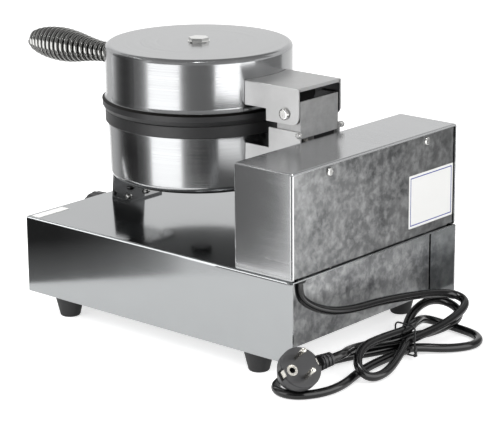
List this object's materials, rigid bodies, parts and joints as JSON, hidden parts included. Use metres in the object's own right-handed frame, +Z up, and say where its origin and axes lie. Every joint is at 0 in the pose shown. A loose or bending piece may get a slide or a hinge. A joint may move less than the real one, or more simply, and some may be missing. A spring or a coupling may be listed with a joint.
{
  "type": "waffle cone maker",
  "caption": "Counter-top waffle cone maker: round hinged cooking heads on a sheet-steel base with a rear wiring box, coil-spring handle and tied mains cord.",
  "frame": {"origin": "on the table, under the middle of the machine's box without its cord", "axes": "+Z up, -Y towards the handle and the controls, +Y towards the hinge and the rear box, +X to the right seen from the front"},
  "size_m": [0.2765, 0.5108, 0.2653],
  "materials": {
    "steel_polished": "mirror-polished stainless sheet",
    "steel_brushed": "brushed stainless sheet",
    "galvanised": "mottled zinc-coated sheet",
    "plate_black": "black non-stick coated casting",
    "chrome": "bright plated wire and fasteners",
    "heater_steel": "oxidised heater sheath",
    "insulation": "pressed white fibre",
    "rubber": "matte black rubber",
    "black_plastic": "moulded black plastic",
    "rocker_plastic": "glossy black plastic",
    "lamp_green": "translucent green lens",
    "lamp_orange": "translucent amber lens",
    "terminal_white": "ceramic-white moulding",
    "sleeve_fibre": "braided glass-fibre sleeve",
    "cord_black": "black rubber-sheathed cord",
    "contact_metal": "nickel-plated contact"
  },
  "bodies": {
    "base": {"base_shell": "steel_polished", "front_support": "steel_polished", "rear_box_cover": "steel_brushed", "lower_drum_shell": "steel_brushed", "lower_hinge_bracket": "steel_brushed", "hinge_yoke": "steel_brushed", "base_floor": "galvanised", "base_rear_panel": "galvanised", "rear_box_back_panel": "galvanised", "lower_clamp_disc": "galvanised", "lower_plate": "plate_black", "lower_bolt": "chrome", "pivot_bolt": "chrome", "pivot_nut": "chrome", "back_panel_screws": "chrome", "ear_screws": "chrome", "support_screws": "chrome", "shelf_rivets": "chrome", "foot_screws": "chrome", "lower_heater": "heater_steel", "lower_insulation": "insulation", "rubber_feet": "rubber", "switch_body": "black_plastic", "thermostat_body": "black_plastic", "cable_gland": "black_plastic", "plug_body": "black_plastic", "cord_tie": "black_plastic", "power_lamp": "lamp_green", "heating_lamp": "lamp_orange", "terminal_block": "terminal_white", "wire_sleeve": "sleeve_fibre", "power_cord": "cord_black", "cord_hank": "cord_black", "plug_pins": "contact_metal", "plug_earth_contacts": "contact_metal"},
    "lid": {"upper_plate": "plate_black", "upper_heater": "heater_steel", "upper_clamp_disc": "galvanised", "upper_insulation": "insulation", "upper_bolt": "chrome", "upper_drum_shell": "steel_brushed", "upper_hinge_bracket": "steel_brushed", "handle_rod": "chrome", "handle_nut": "chrome", "handle_ferrule": "chrome", "handle_spring": "chrome"},
    "knob": {"thermostat_knob": "black_plastic", "thermostat_shaft": "heater_steel"},
    "rocker": {"switch_rocker": "rocker_plastic"}
  },
  "joints": [
    {"name": "lid_hinge", "type": "hinge", "parent": "base", "child": "lid", "pos_m": [0, 0.1383, 0.216], "axis": [-1, 0, 0], "range_deg": [0, 85], "deforming": ["wire_sleeve"]},
    {"name": "thermostat_turn", "type": "hinge", "parent": "base", "child": "knob", "pos_m": [0, -0.1123, 0.067], "axis": [0, -1, 0], "range_deg": [0, 270]},
    {"name": "switch_rock", "type": "hinge", "parent": "base", "child": "rocker", "pos_m": [-0.068, -0.1093, 0.067], "axis": [-1, 0, 0], "range_deg": [0, 16]}
  ]
}
